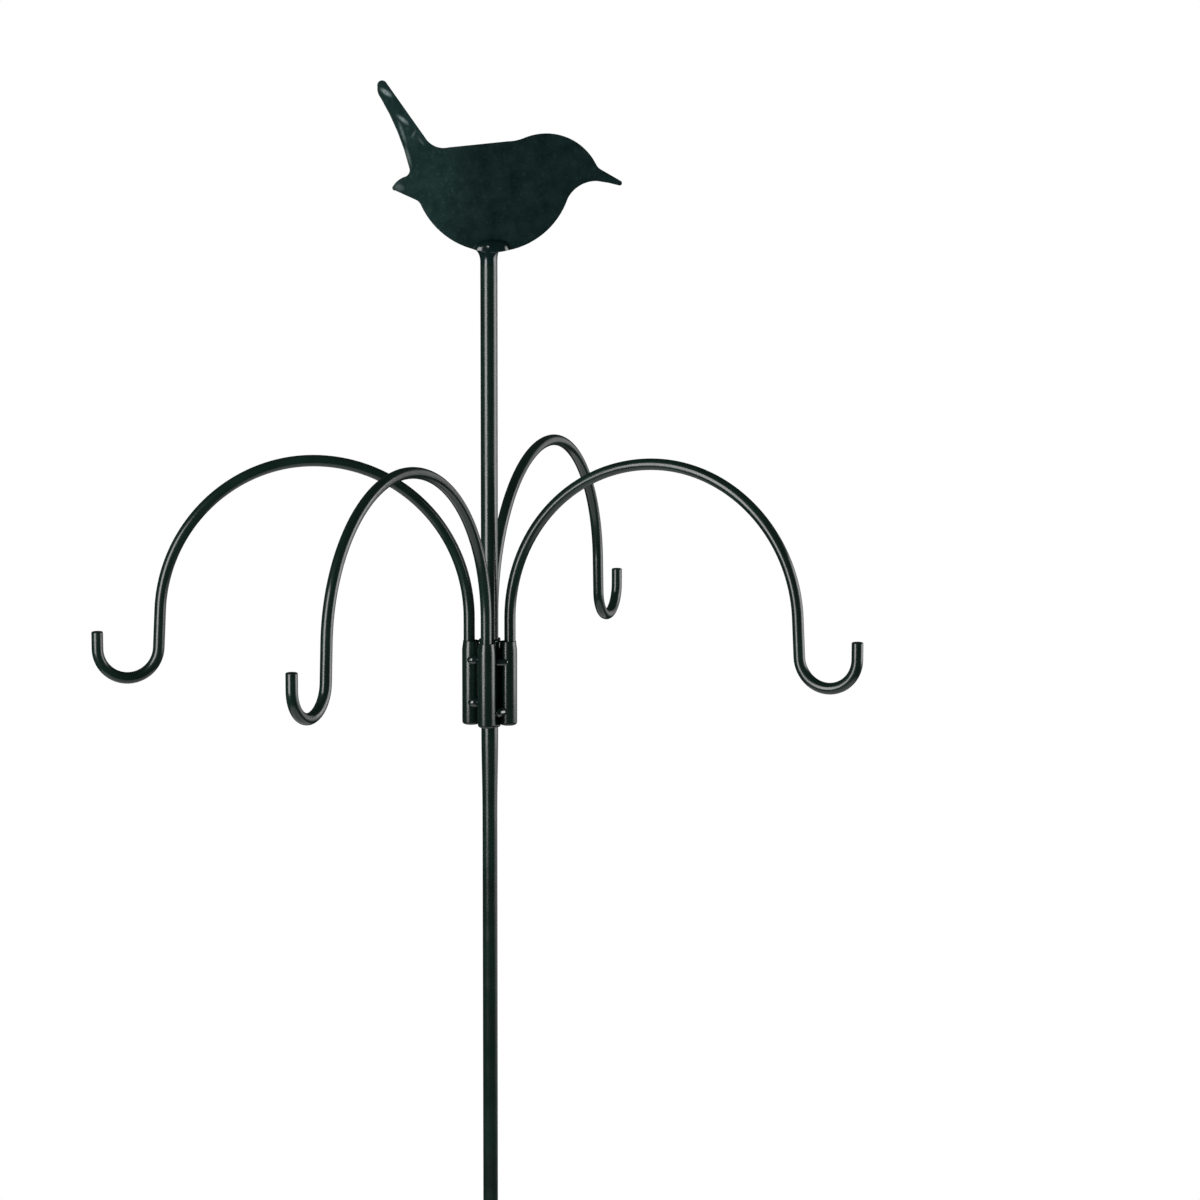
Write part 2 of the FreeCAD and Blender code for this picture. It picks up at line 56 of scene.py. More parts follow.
def makeCamera():
    data = bpy.data.cameras.new("photoCamera")
    data.lens = viewpoint["lens"]
    data.sensor_width = viewpoint["sensor"]
    data.clip_start, data.clip_end = viewpoint["clip"]
    camera = bpy.data.objects.new("photoCamera", data)
    camera.location = viewpoint["place"]
    aim = Euler((math.radians(90.0 + viewpoint["pitch"]), 0.0, math.radians(viewpoint["yaw"])))
    tilt = Matrix.Rotation(math.radians(viewpoint["roll"]), 3, "Z")
    camera.rotation_euler = (aim.to_matrix() @ tilt).to_euler()
    scene.collection.objects.link(camera)
    scene.camera = camera


makeCamera()
print("camera set")


# Noises by use: scale per metre, detail and roughness
noiseKinds = {
    "cloud": (24.0, 4.0, 0.5),
    "specks": (900.0, 2.0, 0.5),
    "smear": (60.0, 5.0, 0.6),
    "peel": (520.0, 2.0, 0.5),
    "mottle": (90.0, 6.0, 0.65),
    "flecks": (420.0, 3.0, 0.6),
    "scratches": (700.0, 3.0, 0.7),
    "grain": (640.0, 3.0, 0.5),
    "floorTint": (14.0, 4.0, 0.5),
}


# Small helpers for node trees
def linear(red, green, blue):
    def one(value):
        value /= 255.0
        return value / 12.92 if value <= 0.04045 else ((value + 0.055) / 1.055) ** 2.4
    return (one(red), one(green), one(blue), 1.0)


def addNode(tree, kind, **settings):
    node = tree.nodes.new(kind)
    for name, value in settings.items():
        setattr(node, name, value)
    return node


def newMaterial(name):
    material = bpy.data.materials.new(name)
    material.use_nodes = True
    tree = material.node_tree
    surface = tree.nodes["Principled BSDF"]
    coords = addNode(tree, "ShaderNodeTexCoord").outputs["Object"]
    return material, tree, surface, coords


def noiseValue(tree, coords, kind):
    texture = addNode(tree, "ShaderNodeTexNoise")
    for socket, number in zip(("Scale", "Detail", "Roughness"), noiseKinds[kind]):
        texture.inputs[socket].default_value = number
    tree.links.new(coords, texture.inputs["Vector"])
    return texture.outputs["Fac"]


def remap(tree, value, fromLow, fromHigh, toLow, toHigh, smooth=False):
    node = addNode(tree, "ShaderNodeMapRange")
    node.interpolation_type = "SMOOTHSTEP" if smooth else "LINEAR"
    limits = {"From Min": fromLow, "From Max": fromHigh, "To Min": toLow, "To Max": toHigh}
    for socket, number in limits.items():
        node.inputs[socket].default_value = number
    tree.links.new(value, node.inputs["Value"])
    return node.outputs["Result"]


def mixColour(tree, factor, first, second):
    node = addNode(tree, "ShaderNodeMix", data_type="RGBA")
    tree.links.new(factor, node.inputs["Factor"])
    # the colour sockets come after those for numbers and vectors
    for socket, colour in ((6, first), (7, second)):
        if isinstance(colour, tuple):
            node.inputs[socket].default_value = colour
        else:
            tree.links.new(colour, node.inputs[socket])
    return node.outputs[2]


def calculate(tree, operation, first, second):
    node = addNode(tree, "ShaderNodeMath", operation=operation)
    for socket, value in zip(node.inputs, (first, second)):
        if isinstance(value, (int, float)):
            socket.default_value = value
        else:
            tree.links.new(value, socket)
    return node.outputs[0]


def addBump(tree, surface, height, strength, distance):
    node = addNode(tree, "ShaderNodeBump")
    node.inputs["Strength"].default_value = strength
    node.inputs["Distance"].default_value = distance
    tree.links.new(height, node.inputs["Height"])
    tree.links.new(node.outputs["Normal"], surface.inputs["Normal"])


# Dark green coat on the steel: gloss on tube and wire, satin on the bird
paintIor = 1.5
bumpHeight = 0.4 * mm
glossLook = {
    "deep": linear(9, 24, 20),
    "pale": linear(17, 36, 30),
    "dust": linear(40, 58, 52),
    "dustShare": 0.35,
    "roughLow": 0.17,
    "roughHigh": 0.29,
    "gleam": 0.5,        # specular level
    "peel": 0.05,        # strength of the orange peel
}
satinLook = {
    "deep": linear(4, 22, 22),
    "pale": linear(11, 34, 33),
    "sheenTint": linear(20, 45, 43),     # painted sheen: lighter tint over the tail half, where the left lamp's sheen lies
    "sheenFrom": -2.0,                # mm from the pole
    "sheenTo": -42.0,
    "fleck": linear(48, 72, 69),
    "fleckShare": 0.6,
    # colour of the painted glints on the tail
    "paintedGlint": linear(132, 148, 145),
    "roughLow": 0.26,
    "roughHigh": 0.36,
    "gleam": 0.30,                   # specular level
    "grain": 0.10,                   # strength of the fine grain
    # painted glints on the tail, standing in for the lamp's reflection on dents: place (x, z), length,
    # width, turn in degrees, strength
    "tailGlints": [
        (-70.9, 1843.6, 6.4, 2.3, 35.0, 0.95),
        (-59.3, 1824.9, 6.8, 2.0, 40.0, 0.80),
        (-59.6, 1815.9, 11.0, 1.7, 71.0, 0.42),
        (-55.6, 1799.9, 10.0, 1.6, 74.0, 0.40),
        (-52.0, 1815.0, 4.5, 1.4, -62.0, 0.26),
        (-46.6, 1810.0, 4.5, 1.3, 54.0, 0.24),
        (-62.4, 1778.6, 5.5, 4.0, 20.0, 0.26),
    ],
}
weldLook = {
    "deep": linear(7, 23, 22),
    "pale": linear(13, 33, 31),
    "dust": linear(38, 54, 50),
    "dustShare": 0.35,
    "roughLow": 0.14,
    "roughHigh": 0.22,
    "gleam": 0.5,
    "tackGleam": 0.9,    # the hub's tacks shine more
    "peel": 0.04,
}


def makeGlossCoat(name, look):
    material, tree, surface, coords = newMaterial(name)
    cloud = remap(tree, noiseValue(tree, coords, "cloud"), 0.3, 0.7, 0.0, 1.0)
    colour = mixColour(tree, cloud, look["deep"], look["pale"])
    specks = remap(tree, noiseValue(tree, coords, "specks"), 0.7, 0.8, 0.0, look["dustShare"])
    colour = mixColour(tree, specks, colour, look["dust"])
    tree.links.new(colour, surface.inputs["Base Color"])
    smear = noiseValue(tree, coords, "smear")
    rough = remap(tree, smear, 0.3, 0.7, look["roughLow"], look["roughHigh"])
    tree.links.new(rough, surface.inputs["Roughness"])
    addBump(tree, surface, noiseValue(tree, coords, "peel"), look["peel"], bumpHeight)
    surface.inputs["IOR"].default_value = paintIor
    surface.inputs["Specular IOR Level"].default_value = look["gleam"]
    return material


def makeSatinCoat():
    look = satinLook
    material, tree, surface, coords = newMaterial("satinCoat")
    mottle = noiseValue(tree, coords, "mottle")
    colour = mixColour(tree, remap(tree, mottle, 0.32, 0.68, 0.0, 1.0), look["deep"], look["pale"])
    # painted sheen: lighter towards the tail, standing in for the left lamp's sheen; the flecks grow
    # with it
    along = addNode(tree, "ShaderNodeSeparateXYZ")
    tree.links.new(coords, along.inputs[0])
    sheenFrom, sheenTo = look["sheenFrom"] * mm, look["sheenTo"] * mm
    paintedSheen = remap(tree, along.outputs["X"], sheenFrom, sheenTo, 0.0, 1.0, smooth=True)
    paintedSheen = calculate(tree, "MULTIPLY", paintedSheen, remap(tree, mottle, 0.35, 0.65, 0.45, 1.0))
    colour = mixColour(tree, paintedSheen, colour, look["sheenTint"])
    flecks = remap(tree, noiseValue(tree, coords, "flecks"), 0.56, 0.76, 0.0, look["fleckShare"])
    flecks = calculate(tree, "MULTIPLY", flecks, remap(tree, paintedSheen, 0.0, 1.0, 0.3, 1.0))
    colour = mixColour(tree, flecks, colour, look["fleck"])
    # painted glints on the tail, broken up by fine scratches
    scratchy = noiseValue(tree, coords, "scratches")
    paintedGlint = None
    for x, z, length, width, turn, strength in look["tailGlints"]:
        mapping = addNode(tree, "ShaderNodeMapping", vector_type="TEXTURE")
        mapping.inputs["Location"].default_value = (x * mm, 0.0, z * mm)
        mapping.inputs["Rotation"].default_value = (0.0, math.radians(turn), 0.0)
        mapping.inputs["Scale"].default_value = (length * mm, 1.0, width * mm)
        tree.links.new(coords, mapping.inputs["Vector"])
        reach = addNode(tree, "ShaderNodeVectorMath", operation="LENGTH")
        tree.links.new(mapping.outputs["Vector"], reach.inputs[0])
        mark = remap(tree, reach.outputs["Value"], 0.1, 1.0, strength, 0.0, smooth=True)
        paintedGlint = mark if paintedGlint is None else calculate(tree, "MAXIMUM", paintedGlint, mark)
    paintedGlint = calculate(tree, "MULTIPLY", paintedGlint, remap(tree, scratchy, 0.3, 0.6, 0.35, 1.0))
    colour = mixColour(tree, paintedGlint, colour, look["paintedGlint"])
    tree.links.new(colour, surface.inputs["Base Color"])
    rough = remap(tree, mottle, 0.3, 0.7, look["roughLow"], look["roughHigh"])
    tree.links.new(rough, surface.inputs["Roughness"])
    addBump(tree, surface, noiseValue(tree, coords, "grain"), look["grain"], bumpHeight)
    surface.inputs["IOR"].default_value = paintIor
    surface.inputs["Specular IOR Level"].default_value = look["gleam"]
    return material


glossCoat = makeGlossCoat("glossCoat", glossLook)
weldCoat = makeGlossCoat("weldCoat", weldLook)
tackCoat = makeGlossCoat("tackCoat", dict(weldLook, gleam=weldLook["tackGleam"]))
satinCoat = makeSatinCoat()
print("materials made")


# Mesh helpers
edgeTurns = (0, 22.5, 45, 67.5, 90)     # degrees round a softened edge


def finishMesh(mesh, material=None, sharp=38.0):
    # a mesh grown by a node tree already has its coat
    if material:
        mesh.materials.append(material)
    mesh.shade_smooth()
    mesh.set_sharp_from_angle(angle=math.radians(sharp))


def addPiece(name, mesh, body, slot, *nodes):
    piece = bpy.data.objects.new(name, mesh)
    scene.collection.objects.link(piece)
    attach(piece, body)
    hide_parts(*nodes)


def latheMesh(name, profile, steps=48, closed=True):
    # profile is radius and height in mm, from the outside bottom upwards
    shape = bmesh.new()
    turns = [2 * math.pi * step / steps for step in range(steps)]
    rings = []
    for radius, height in profile:
        if radius == 0:
            rings.append([shape.verts.new((0, 0, height * mm))])
            continue
        rings.append([
            shape.verts.new((radius * mm * math.cos(turn), radius * mm * math.sin(turn), height * mm))
            for turn in turns])
    pairs = list(zip(rings, rings[1:]))
    if closed:
        pairs.append((rings[-1], rings[0]))
    for low, high in pairs:
        for step in range(steps):
            after = (step + 1) % steps
            corners = [low[step % len(low)], low[after % len(low)]]
            corners += [high[after % len(high)], high[step % len(high)]]
            corners = list(dict.fromkeys(corners))     # a point on the axis counts once
            if len(corners) > 2:
                shape.faces.new(corners)
    bmesh.ops.recalc_face_normals(shape, faces=shape.faces)
    mesh = bpy.data.meshes.new(name)
    shape.to_mesh(mesh)
    shape.free()
    return mesh


def easeRun(startRadius, endRadius, startHeight, endHeight, steps):
    # radius that swells softly from one height to the next
    run = []
    for step in range(steps + 1):
        t = step / steps
        run.append((startRadius + (endRadius - startRadius) * t * t * (3 - 2 * t),
                    startHeight + (endHeight - startHeight) * t))
    return run


def roundedEnd(radius, inner, height, up, edge):
    # softened rim of a tube end, from the outer wall to the inner one
    outer, hollow = [], []
    for turn in (0, 30, 60, 90):
        angle = math.radians(turn)
        level = height - up * edge * (1 - math.sin(angle))
        outer.append((radius - edge * (1 - math.cos(angle)), level))
        hollow.append((inner + edge * (1 - math.cos(angle)), level))
    return outer + hollow[::-1]


def softCorner(radius, height, steps):
    # points of a softened corner, each a step in radius and height off the sharp one
    return [(radius + wider, height + higher) for wider, higher in steps]


# Pole tubes, in mm
pole = {
    "topRadius": 6.0,
    "shaftRadius": 5.3,
    "wall": 1.0,
    "levels": (0.0, 420.0, 1020.0, 1740.0),
    "drawLow": 1336.0,     # the tube is drawn down between these heights
    "drawHigh": 1396.0,
    "drawSteps": 16,
    "neckRadius": 4.22,
    "neckLength": 40.0,
    "neckTaper": 3.0,
    "neckSteps": 6,
    "skirt": 30.0,         # height of the first ring above a lower tube's end
    "rim": 0.35,
}


def makePoles():
    p = pole
    rim, shaft, wall = p["rim"], p["shaftRadius"], p["wall"]
    ground, lowJoint, highJoint, top = p["levels"]
    # top tube
    outer = easeRun(shaft, p["topRadius"], p["drawLow"], p["drawHigh"], p["drawSteps"])
    inner = [(radius - wall, height) for radius, height in reversed(outer)]
    profile = outer + roundedEnd(p["topRadius"], p["topRadius"] - wall, top, 1, rim) + inner
    profile += reversed(roundedEnd(shaft, shaft - wall, highJoint, -1, rim))
    mesh = latheMesh("topPoleTube", profile)
    finishMesh(mesh, glossCoat)
    addPiece("topPoleTube", mesh, "top_section", "gloss_coat", "top_pole")
    # the two lower tubes with their necks
    neck, taper = p["neckRadius"], p["neckTaper"]
    for name, body, node, base, end in (
            ("middlePoleTube", "middle_section", "middle_pole", lowJoint, highJoint),
            ("lowerPoleTube", "ground_section", "lower_pole", ground, lowJoint)):
        outer = [(shaft, base + p["skirt"])]
        outer += easeRun(shaft, neck, end - taper, end, p["neckSteps"])
        inner = [(neck - wall, end), (shaft - wall, end - taper)]
        profile = outer + roundedEnd(neck, neck - wall, end + p["neckLength"], 1, rim) + inner
        profile += reversed(roundedEnd(shaft, shaft - wall, base, -1, rim))
        mesh = latheMesh(name, profile)
        finishMesh(mesh, glossCoat)
        addPiece(name, mesh, body, "gloss_coat", node)


makePoles()
print("pole tubes made")


# Pointed spike in the lower tube, in mm
spike = {
    "radius": 5.0,
    "tangRadius": 4.26,
    "tip": 1.0,
    "bottom": -220.0,
    "pointTop": -188.0,
    "tangTop": 60.0,
    "sides": 40,
    # softened corners, as steps in radius and height
    "tipEdge": ((-1.0, 0.0), (-0.3, 0.1), (0.0, 0.5)),
    "pointEdge": ((-0.35, -2.3), (-0.08, -0.6), (0.0, 1.2)),
    "shoulderEdge": ((0.0, -0.6), (-0.18, -0.18), (-0.6, 0.0)),
    "tangEdge": ((0.0, -1.0), (-1.0, 0.0)),
}


def makeSpike():
    s = spike
    profile = softCorner(s["tip"], s["bottom"], s["tipEdge"])
    profile += softCorner(s["radius"], s["pointTop"], s["pointEdge"])
    profile += softCorner(s["radius"], 0.0, s["shoulderEdge"])
    profile += [(s["tangRadius"], 0.0)]
    profile += softCorner(s["tangRadius"], s["tangTop"], s["tangEdge"])
    profile += [(0, s["tangTop"])]
    mesh = latheMesh("groundSpikeBar", profile, s["sides"], closed=False)
    finishMesh(mesh, glossCoat)
    addPiece("groundSpikeBar", mesh, "ground_section", "gloss_coat", "ground_spike")


makeSpike()
print("spike made")


# Geometry node trees
def newTree(name, inputs):
    tree = bpy.data.node_groups.new(name, "GeometryNodeTree")
    tree.interface.new_socket("Geometry", in_out="INPUT", socket_type="NodeSocketGeometry")
    sockets = {}
    for label, kind in inputs:
        sockets[label] = tree.interface.new_socket(label, in_out="INPUT", socket_type=kind).identifier
    tree.interface.new_socket("Geometry", in_out="OUTPUT", socket_type="NodeSocketGeometry")
    tree.is_modifier = True
    return tree, sockets, addNode(tree, "NodeGroupInput"), addNode(tree, "NodeGroupOutput")


def endTree(tree, geometry, start, end):
    realize = addNode(tree, "GeometryNodeRealizeInstances")
    coat = addNode(tree, "GeometryNodeSetMaterial")
    tree.links.new(geometry, realize.inputs[0])
    tree.links.new(realize.outputs[0], coat.inputs["Geometry"])
    tree.links.new(start.outputs["Coat"], coat.inputs["Material"])
    tree.links.new(coat.outputs[0], end.inputs[0])


def growMesh(name, host, tree, sockets, values):
    # runs a tree on a host object and keeps only the plain mesh
    grower = host.modifiers.new("grow", "NODES")
    grower.node_group = tree
    for label, value in values.items():
        grower[sockets[label]] = value
    evaluated = host.evaluated_get(bpy.context.evaluated_depsgraph_get())
    mesh = bpy.data.meshes.new_from_object(evaluated)
    mesh.name = name
    host.modifiers.remove(grower)
    bpy.data.objects.remove(host)
    return mesh


def pathObject(name, chains, loop=False):
    # a mesh of bare edges; each point is (x, y, z, radius) in mm
    points, edges, radii = [], [], []
    for chain in chains:
        first = len(points)
        for x, y, z, radius in chain:
            points.append((x * mm, y * mm, z * mm))
            radii.append(radius * mm)
        edges += [(i, i + 1) for i in range(first, len(points) - 1)]
        if loop:
            edges.append((len(points) - 1, first))
    mesh = bpy.data.meshes.new(name)
    mesh.from_pydata(points, edges, [])
    mesh.attributes.new("wireRadius", "FLOAT", "POINT").data.foreach_set("value", radii)
    host = bpy.data.objects.new(name, mesh)
    scene.collection.objects.link(host)
    return host


def makeBentWire():
    # round wire that follows a path, thick as the path's own radius
    tree, sockets, start, end = newTree("bentWire", [
        ("Sides", "NodeSocketInt"), ("Coat", "NodeSocketMaterial")])
    path = addNode(tree, "GeometryNodeMeshToCurve")
    circle = addNode(tree, "GeometryNodeCurvePrimitiveCircle")
    circle.inputs["Radius"].default_value = 1.0
    radius = addNode(tree, "GeometryNodeInputNamedAttribute", data_type="FLOAT")
    radius.inputs["Name"].default_value = "wireRadius"
    sweep = addNode(tree, "GeometryNodeCurveToMesh")
    sweep.inputs["Fill Caps"].default_value = True
    tree.links.new(start.outputs["Geometry"], path.inputs["Mesh"])
    tree.links.new(start.outputs["Sides"], circle.inputs["Resolution"])
    tree.links.new(path.outputs[0], sweep.inputs["Curve"])
    tree.links.new(circle.outputs["Curve"], sweep.inputs["Profile Curve"])
    tree.links.new(radius.outputs["Attribute"], sweep.inputs["Scale"])
    endTree(tree, sweep.outputs["Mesh"], start, end)
    return tree, sockets


def makeSleeveRing():
    # one sleeve pattern set at each point of the hub circle
    tree, sockets, start, end = newTree("sleeveRing", [
        ("Pattern", "NodeSocketObject"), ("Circle radius", "NodeSocketFloat"),
        ("Turn", "NodeSocketFloat"), ("Count", "NodeSocketInt"), ("Coat", "NodeSocketMaterial")])
    ring = addNode(tree, "GeometryNodeMeshCircle")
    turn = addNode(tree, "GeometryNodeTransform")
    angle = addNode(tree, "ShaderNodeCombineXYZ")
    pattern = addNode(tree, "GeometryNodeObjectInfo")
    place = addNode(tree, "GeometryNodeInstanceOnPoints")
    tree.links.new(start.outputs["Count"], ring.inputs["Vertices"])
    tree.links.new(start.outputs["Circle radius"], ring.inputs["Radius"])
    tree.links.new(start.outputs["Turn"], angle.inputs["Z"])
    tree.links.new(ring.outputs["Mesh"], turn.inputs["Geometry"])
    tree.links.new(angle.outputs[0], turn.inputs["Rotation"])
    tree.links.new(start.outputs["Pattern"], pattern.inputs["Object"])
    tree.links.new(turn.outputs[0], place.inputs["Points"])
    tree.links.new(pattern.outputs["Geometry"], place.inputs["Instance"])
    endTree(tree, place.outputs[0], start, end)
    return tree, sockets


bentWire, bentWireSockets = makeBentWire()
sleeveRing, sleeveRingSockets = makeSleeveRing()
print("node trees made")


def wireMesh(name, chains, sides, coat, loop=False):
    host = pathObject(name + "Path", chains, loop)
    return growMesh(name, host, bentWire, bentWireSockets, {"Sides": sides, "Coat": coat})


# Weld beads, lengths in mm
bead = {
    "step": 0.22,        # between the points of a run
    "pitch": 1.5,        # of the ripples
    "ripple": 0.05,      # depth of the ripples, in radii
    "slim": 0.8,         # share of the radius near an open end
    "tip": 0.06,         # share of the radius at the very end
    "sides": 20,
}


def weldChain(points, radius, loop=False, ripple=bead["ripple"]):
    # a run of weld that swells and sinks in ripples, round at open ends
    corners = [Vector(point) for point in points]
    if loop:
        corners.append(corners[0])
    legs = [(b - a).length for a, b in zip(corners, corners[1:])]
    whole = sum(legs)
    pitch = whole / max(1, round(whole / bead["pitch"]))
    steps = int(whole / bead["step"])
    chain, leg, passed = [], 0, 0.0
    for step in range(steps if loop else steps + 1):
        run = whole * step / steps
        while leg < len(legs) - 1 and run > passed + legs[leg]:
            passed += legs[leg]
            leg += 1
        spot = corners[leg].lerp(corners[leg + 1], (run - passed) / legs[leg])
        thick = radius * (1 - ripple * (1 - abs(math.sin(math.pi * run / pitch))))
        if not loop:
            thick *= bead["slim"] + (1 - bead["slim"]) * math.sin(math.pi * run / whole)
            near = min(run, whole - run, radius) / radius
            thick *= max(bead["tip"], math.sqrt(max(0.0, 1 - (1 - near) ** 2)))
        chain.append((spot.x, spot.y, spot.z, thick))
    return chain


# Hub: collar, four sleeves and their welds, in mm
hub = {
    "low": 1400.0,
    "high": 1460.0,
    "turn": -9.0,
    "collarRadius": 6.9,
    "collarBore": 6.05,
    "collarEdge": 0.2,
    "sleeves": 4,
    "sleeveRadius": 6.35,
    "sleeveBore": 5.35,
    "sleeveCircle": 13.3,
    "sleeveSides": 40,
    "sleeveLip": 1.4,
    "seatEdge": 0.5,       # softened corner where the arm stands
    "drainRadius": 2.0,
    "bottomRound": 2.2,
    "mouthTaper": 7.0,
    "mouthSteps": 10,
    "mouthWall": 0.3,
    "mouthRim": 0.15,
    "mouthEase": 0.02,
    "ringRadius": 6.4,
    "ringBead": 1.5,
    "ringLift": 0.1,
    "ringSteps": 96,
}
hubWelds = {
    "rise": 0.4,
    "sinks": (0.55, 0.85),    # how far a tack's two ends dip into the sleeves, in radii
    "bite": 0.4,              # the beads' hidden side stops this far short of the sleeve bores
    "inset": 15.0,
    "ripple": 0.012,
    "climbSteps": 10,
    # upper and lower tack of each gap: how far it slipped and its radius in mm, how many degrees
    # it climbs round the two sleeves beside it, and whether it bridges straight across the gap
    "tacks": (
        ((0.7, 2.8, 40.0, 108.0, True), (-4.8, 3.2, 85.0, 60.0, True)),        # front right
        ((1.0, 2.8, 100.0, 80.0, False), (-1.5, 3.1, 104.0, 94.0, False)),     # back right
        ((-1.5, 3.0, 80.0, 104.0, False), (1.0, 2.7, 100.0, 100.0, False)),    # back left
        ((2.0, 3.9, 106.0, 60.0, False), (1.5, 4.0, 99.0, 60.0, False)),       # front left
    ),
}


def sleeveBearing(index):
    return math.radians(360.0 / hub["sleeves"] * index + hub["turn"])


def sleeveProfile():
    # rolled in at the bottom and tapered at its mouth
    h = hub
    low, high, rim = h["low"], h["high"], h["mouthRim"]
    radius, bore, curl = h["sleeveRadius"], h["sleeveBore"], h["bottomRound"]
    lip, seat = low + h["sleeveLip"], h["seatEdge"]
    profile = [(h["drainRadius"], low)]
    for turn in range(0, 91, 10):
        angle = math.radians(turn)
        profile.append((radius - curl * (1 - math.sin(angle)), low + curl * (1 - math.cos(angle))))
    mouth = bore + h["mouthWall"]
    profile += easeRun(radius, mouth, high - h["mouthTaper"], high - rim, h["mouthSteps"])
    profile += [(bore + rim, high), (bore + h["mouthEase"], high - rim)]
    profile += [(bore, lip + seat), (bore - seat, lip), (h["drainRadius"], lip)]
    return profile


def makeHub():
    h = hub
    low, high, edge = h["low"], h["high"], h["collarEdge"]
    radius, bore = h["collarRadius"], h["collarBore"]
    profile = [(bore, low), (radius - edge, low), (radius, low + edge)]
    profile += [(radius, high - edge), (radius - edge, high), (bore, high)]
    mesh = latheMesh("hubCollarTube", profile)
    finishMesh(mesh, glossCoat)
    addPiece("hubCollarTube", mesh, "top_section", "gloss_coat", "hub_collar")
    # sleeves, all from one pattern
    mesh = latheMesh("sleevePattern", sleeveProfile(), h["sleeveSides"])
    pattern = bpy.data.objects.new("sleevePattern", mesh)
    scene.collection.objects.link(pattern)
    host = pathObject("sleeveHost", [[(0, 0, 0, 1)]])
    mesh = growMesh("hubSleeves", host, sleeveRing, sleeveRingSockets, {
        "Pattern": pattern, "Circle radius": h["sleeveCircle"] * mm, "Turn": math.radians(h["turn"]),
        "Count": h["sleeves"], "Coat": glossCoat})
    bpy.data.objects.remove(pattern)
    finishMesh(mesh)
    addPiece("hubSleeves", mesh, "top_section", "gloss_coat",
             "sleeve_right", "sleeve_back", "sleeve_left", "sleeve_front")
    # ring welds where the collar ends on the pole
    for name, node, level in (("collarRingTop", "collar_weld_top", high + h["ringLift"]),
                              ("collarRingBottom", "collar_weld_bottom", low - h["ringLift"])):
        ring = []
        for step in range(h["ringSteps"]):
            angle = 2 * math.pi * step / h["ringSteps"]
            ring.append((h["ringRadius"] * math.cos(angle), h["ringRadius"] * math.sin(angle), level))
        chain = weldChain(ring, h["ringBead"], loop=True)
        mesh = wireMesh(name, [chain], bead["sides"], weldCoat, loop=True)
        finishMesh(mesh)
        addPiece(name, mesh, "top_section", "gloss_coat", node)


def makeSleeveWelds():
    h, w = hub, hubWelds
    toCollar = h["collarRadius"] + w["rise"]
    toSleeve = h["sleeveRadius"] + w["rise"]
    circle = h["sleeveCircle"]
    flank = math.acos((toCollar ** 2 + circle ** 2 - toSleeve ** 2) / (2 * toCollar * circle))
    valley = math.asin(toCollar * math.sin(flank) / toSleeve)
    levels = (h["high"] - w["inset"], h["low"] + w["inset"])
    chains = []
    for gap, pair in enumerate(w["tacks"]):
        for level, (slip, radius, first, last, bridging) in zip(levels, pair):
            # each tack runs from one sleeve into the valley, over the collar and up the next sleeve
            sinks = (0.0, w["sinks"][1]) if bridging else w["sinks"]
            run = []
            for index, side, top, sink in zip((gap - 1, gap), (1, -1), (first, last), sinks):
                seat = sleeveBearing(index)
                climb = []
                for step in range(w["climbSteps"] + 1):
                    t = step / w["climbSteps"]
                    turn = valley + (math.radians(top) - valley) * t
                    away = toSleeve - (w["rise"] + sink * radius) * t ** 2
                    reach = circle - away * math.cos(turn)
                    across = side * away * math.sin(turn)
                    climb.append((reach * math.cos(seat) - across * math.sin(seat),
                                  reach * math.sin(seat) + across * math.cos(seat)))
                run += reversed(climb) if side > 0 else climb
            if bridging:
                run = [run[0], run[-1]]
            points = [(x, y, level + slip) for x, y in run]
            chains.append(weldChain(points, radius, ripple=w["ripple"]))
    mesh = wireMesh("sleeveWeldBeads", chains, bead["sides"], tackCoat)
    # the bores stay free for the arms
    free = (h["sleeveBore"] + w["bite"]) * mm
    for index in range(h["sleeves"]):
        seat = sleeveBearing(index)
        centre = Vector((math.cos(seat), math.sin(seat))) * circle * mm
        for vert in mesh.vertices:
            away = vert.co.xy - centre
            if away.length < free:
                vert.co.xy = centre + away.normalized() * free
    finishMesh(mesh)
    addPiece("sleeveWeldBeads", mesh, "top_section", "gloss_coat", "sleeve_welds")


makeHub()
makeSleeveWelds()
print("hub made")


# Bent wire arms, in mm and degrees
arm = {
    "wire": 4.0,
    "circle": 14.57,
    "foot": 1401.6,
    "footRound": 0.6,
    "spring": 1476.0,
    "innerArch": 114.8,
    "outerArch": 105.5,
    "lean": 3.0,
    "leg": 26.5,
    "hook": 21.2,
    "tip": 12.0,
    "tipRound": 1.0,
    "sides": 32,
    "archStep": 2.0,       # degrees of arc between path points
    "hookStep": 6.0,
    # each sleeve's direction before the hub is turned, and the arm's own turn in it
    "turns": {
        "right": (0.0, -18.9),
        "back": (90.0, -12.6),
        "left": (180.0, 24.6),
        "front": (270.0, -18.9),
    },
}


def arcRun(centre, radius, first, last, step):
    count = max(2, int(abs(last - first) / step))
    run = []
    for i in range(count + 1):
        angle = math.radians(first + (last - first) * i / count)
        run.append((centre[0] + radius * math.cos(angle), centre[1] + radius * math.sin(angle)))
    return run


def roundedCut(reach, height, wire, edge, up):
    # softened edge of a cut wire end: place along the wire and radius
    cut = []
    for turn in edgeTurns:
        angle = math.radians(turn)
        level = height - up * edge * (1 - math.sin(angle))
        cut.append((reach, level, wire - edge * (1 - math.cos(angle))))
    return cut


